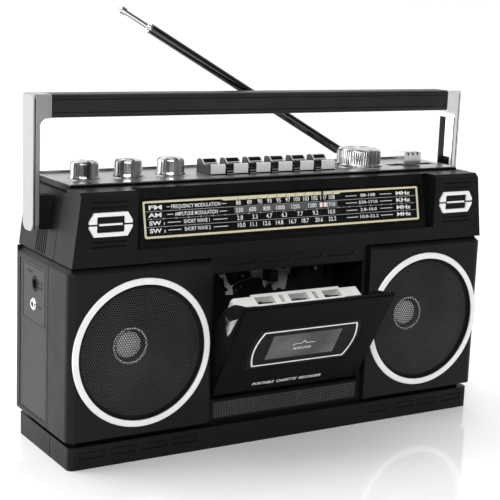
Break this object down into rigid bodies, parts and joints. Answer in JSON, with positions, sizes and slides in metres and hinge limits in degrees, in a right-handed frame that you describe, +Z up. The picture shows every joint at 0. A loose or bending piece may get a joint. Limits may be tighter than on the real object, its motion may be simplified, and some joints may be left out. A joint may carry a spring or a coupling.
{
  "type": "cassette player",
  "caption": "Portable radio cassette player: speaker case with a tilting tape door, leaning tuning dial, control deck with piano keys and knobs, folding handle and telescopic antenna.",
  "frame": {"origin": "middle of the base tray's underside", "axes": "+X to the right seen from the front, +Y to the back, +Z up"},
  "size_m": [0.339, 0.1242, 0.2872],
  "materials": {
    "case_black": "fine-grain moulded ABS",
    "tray_black": "fine-grain moulded ABS",
    "panel_black": "fine ribbed side panel",
    "frame_black": "moulded ABS with a dotted strip",
    "tuner_black": "fine-grain moulded ABS",
    "socket_black": "smooth plastic",
    "jack_metal": "nickel-plated",
    "screw_steel": "black zinc",
    "ring_silver": "chrome-plated plastic",
    "grille_black": "perforated, black enamel",
    "speaker_parts": "pressed steel basket and ferrite magnet",
    "emblem_silver": "chrome-plated plastic",
    "door_black": "satin-gloss moulding",
    "window_smoke": "smoked acrylic",
    "holder_black": "smooth plastic",
    "spring_steel": "bright spring steel",
    "cassette_white": "satin",
    "hub_white": "acetal",
    "mech_steel": "zinc-plated sheet steel",
    "rubber_black": "neoprene",
    "motor_steel": "zinc-plated can",
    "reel_black": "acetal",
    "dial_black": "printed scale with a cream border",
    "window_clear": "clear acrylic",
    "pointer_red": "gloss",
    "deck_black": "satin",
    "deck_silver": "bright brushed",
    "knob_silver": "chrome-plated plastic",
    "key_silver": "chrome-plated plastic",
    "board_brown": "phenolic board",
    "grip_black": "ribbed satin plastic",
    "arm_silver": "chrome-plated plastic",
    "antenna_dark": "black chrome",
    "antenna_bright": "bright chrome"
  },
  "bodies": {
    "root": {"base_tray": "tray_black", "front_shell": "case_black", "bay_frame": "frame_black", "mid_shell": "case_black", "back_cover": "case_black", "back_screws": "screw_steel", "left_side_panel": "panel_black", "right_side_panel": "panel_black", "dc_socket": "socket_black", "phone_socket": "jack_metal", "mech_plate": "mech_steel", "motor": "motor_steel", "drive_belt": "rubber_black", "tuner_shell": "tuner_black", "dial_scale": "dial_black", "dial_window": "window_clear", "emblems": "emblem_silver", "deck_rim": "deck_black", "deck_plate": "deck_silver", "key_bed": "deck_black", "main_board": "board_brown", "left_speaker_ring": "ring_silver", "right_speaker_ring": "ring_silver", "left_grille": "grille_black", "right_grille": "grille_black", "left_speaker": "speaker_parts", "right_speaker": "speaker_parts"},
    "door": {"cassette_door": "door_black", "door_window": "window_smoke", "cassette_holder": "holder_black", "holder_springs": "spring_steel"},
    "cassette": {"cassette_shell": "cassette_white"},
    "supply_hub": {"supply_hub": "hub_white"},
    "takeup_hub": {"takeup_hub": "hub_white"},
    "handle": {"handle_grip": "grip_black", "left_handle_arm": "arm_silver", "right_handle_arm": "arm_silver"},
    "antenna_swivel": {"antenna_yoke": "antenna_bright"},
    "antenna_outer": {"antenna_tube": "antenna_dark"},
    "antenna_middle": {"antenna_middle": "antenna_bright"},
    "antenna_inner": {"antenna_rod": "antenna_bright"},
    "volume_knob": {"volume_knob": "knob_silver"},
    "tone_knob": {"tone_knob": "knob_silver"},
    "balance_knob": {"balance_knob": "knob_silver"},
    "tuning_knob": {"tuning_knob": "knob_silver"},
    "pointer": {"dial_pointer": "pointer_red"},
    "band_switch": {"band_switch": "knob_silver"},
    "head": {"head_bridge": "mech_steel"},
    "roller": {"pinch_roller": "rubber_black"},
    "capstan": {"capstan": "mech_steel"},
    "motor_pulley": {"motor_pulley": "mech_steel"},
    "supply_spindle": {"supply_spindle": "reel_black"},
    "takeup_spindle": {"takeup_spindle": "reel_black"},
    "battery_door": {"battery_door": "case_black"},
    "record_key": {"record_key": "key_silver"},
    "play_key": {"play_key": "key_silver"},
    "rewind_key": {"rewind_key": "key_silver"},
    "fast_forward_key": {"fast_forward_key": "key_silver"},
    "stop_eject_key": {"stop_eject_key": "key_silver"},
    "pause_key": {"pause_key": "key_silver"}
  },
  "joints": [
    {"name": "door_hinge", "type": "hinge", "parent": "root", "child": "door", "pos_m": [0, -0.0365, 0.036], "axis": [1, 0, 0], "range_deg": [-30.5, 0]},
    {"name": "cassette_slide", "type": "slide", "parent": "door", "child": "cassette", "axis": [0, -0.5075, 0.8616], "range_m": [0, 0.07]},
    {"name": "supply_hub_spin", "type": "hinge", "parent": "cassette", "child": "supply_hub", "pos_m": [-0.02125, -0.03332, 0.0706], "axis": [0, 0.8616, 0.5075], "continuous": true},
    {"name": "takeup_hub_spin", "type": "hinge", "parent": "cassette", "child": "takeup_hub", "pos_m": [0.02125, -0.03332, 0.0706], "axis": [0, 0.8616, 0.5075], "continuous": true},
    {"name": "handle_fold", "type": "hinge", "parent": "root", "child": "handle", "pos_m": [0, 0.006, 0.155], "axis": [1, 0, 0], "range_deg": [0, 90]},
    {"name": "antenna_turn", "type": "hinge", "parent": "root", "child": "antenna_swivel", "pos_m": [0.084, 0.0255, 0.1844], "axis": [0, 0, 1], "range_deg": [-180, 0]},
    {"name": "antenna_tilt", "type": "hinge", "parent": "antenna_swivel", "child": "antenna_outer", "pos_m": [0.084, 0.0255, 0.1844], "axis": [0, 1, 0], "range_deg": [-28.7, 61.3]},
    {"name": "antenna_middle_slide", "type": "slide", "parent": "antenna_outer", "child": "antenna_middle", "axis": [-0.8771, 0, 0.4802], "range_m": [0, 0.15]},
    {"name": "antenna_rod_slide", "type": "slide", "parent": "antenna_middle", "child": "antenna_inner", "axis": [-0.8771, 0, 0.4802], "range_m": [-0.018, 0.14]},
    {"name": "volume_turn", "type": "hinge", "parent": "root", "child": "volume_knob", "pos_m": [-0.1339, 0.0005, 0.184], "axis": [0, 0, 1], "range_deg": [-150, 150]},
    {"name": "tone_turn", "type": "hinge", "parent": "root", "child": "tone_knob", "pos_m": [-0.1026, 0.0015, 0.184], "axis": [0, 0, 1], "range_deg": [-150, 150]},
    {"name": "balance_turn", "type": "hinge", "parent": "root", "child": "balance_knob", "pos_m": [-0.0713, 0.002, 0.184], "axis": [0, 0, 1], "range_deg": [-150, 150]},
    {"name": "tuning_turn", "type": "hinge", "parent": "root", "child": "tuning_knob", "pos_m": [0.082, 0.003, 0.184], "axis": [0, 0, 1], "range_deg": [-43.5, 297]},
    {"name": "pointer_slide", "type": "slide", "parent": "root", "child": "pointer", "axis": [1, 0, 0], "range_m": [-0.068, 0.01]},
    {"name": "band_select", "type": "slide", "parent": "root", "child": "band_switch", "axis": [1, 0, 0], "range_m": [0, 0.018]},
    {"name": "record_press", "type": "hinge", "parent": "root", "child": "record_key", "pos_m": [0, 0.0205, 0.1685], "axis": [1, 0, 0], "range_deg": [0, 8], "stiffness_Nm_per_rad": 0.6, "springref_deg": -3.44},
    {"name": "play_press", "type": "hinge", "parent": "root", "child": "play_key", "pos_m": [0, 0.0205, 0.1685], "axis": [1, 0, 0], "range_deg": [0, 8], "stiffness_Nm_per_rad": 0.6, "springref_deg": -3.44},
    {"name": "rewind_press", "type": "hinge", "parent": "root", "child": "rewind_key", "pos_m": [0, 0.0205, 0.1685], "axis": [1, 0, 0], "range_deg": [0, 8], "stiffness_Nm_per_rad": 0.6, "springref_deg": -3.44},
    {"name": "fast_forward_press", "type": "hinge", "parent": "root", "child": "fast_forward_key", "pos_m": [0, 0.0205, 0.1685], "axis": [1, 0, 0], "range_deg": [0, 8], "stiffness_Nm_per_rad": 0.6, "springref_deg": -3.44},
    {"name": "stop_eject_press", "type": "hinge", "parent": "root", "child": "stop_eject_key", "pos_m": [0, 0.0205, 0.1685], "axis": [1, 0, 0], "range_deg": [0, 8], "stiffness_Nm_per_rad": 0.6, "springref_deg": -3.44},
    {"name": "pause_press", "type": "hinge", "parent": "root", "child": "pause_key", "pos_m": [0, 0.0205, 0.1685], "axis": [1, 0, 0], "range_deg": [0, 8], "stiffness_Nm_per_rad": 0.6, "springref_deg": -3.44},
    {"name": "head_slide", "type": "slide", "parent": "root", "child": "head", "axis": [0, 0, -1], "range_m": [0, 0.0095]},
    {"name": "roller_spin", "type": "hinge", "parent": "head", "child": "roller", "pos_m": [0.0265, -0.0158, 0.10925], "axis": [0, 1, 0], "continuous": true},
    {"name": "capstan_spin", "type": "hinge", "parent": "root", "child": "capstan", "pos_m": [0.0265, -0.0022, 0.0918], "axis": [0, 1, 0], "continuous": true},
    {"name": "motor_spin", "type": "hinge", "parent": "root", "child": "motor_pulley", "pos_m": [-0.028, -0.0022, 0.098], "axis": [0, 1, 0], "continuous": true},
    {"name": "supply_spindle_spin", "type": "hinge", "parent": "root", "child": "supply_spindle", "pos_m": [-0.02125, -0.008, 0.0642], "axis": [0, 1, 0], "continuous": true},
    {"name": "takeup_spindle_spin", "type": "hinge", "parent": "root", "child": "takeup_spindle", "pos_m": [0.02125, -0.008, 0.0642], "axis": [0, 1, 0], "continuous": true},
    {"name": "battery_door_hinge", "type": "hinge", "parent": "root", "child": "battery_door", "pos_m": [0, 0.0429, 0.0236], "axis": [1, 0, 0], "range_deg": [-95, 0]}
  ],
  "couplings": [
    {"joint": "pointer_slide", "follows": "tuning_turn", "m_per_rad": -0.0131},
    {"joint": "head_slide", "follows": "play_press", "m_per_rad": 0.068},
    {"joint": "motor_spin", "follows": "capstan_spin", "ratio": 4.5}
  ]
}
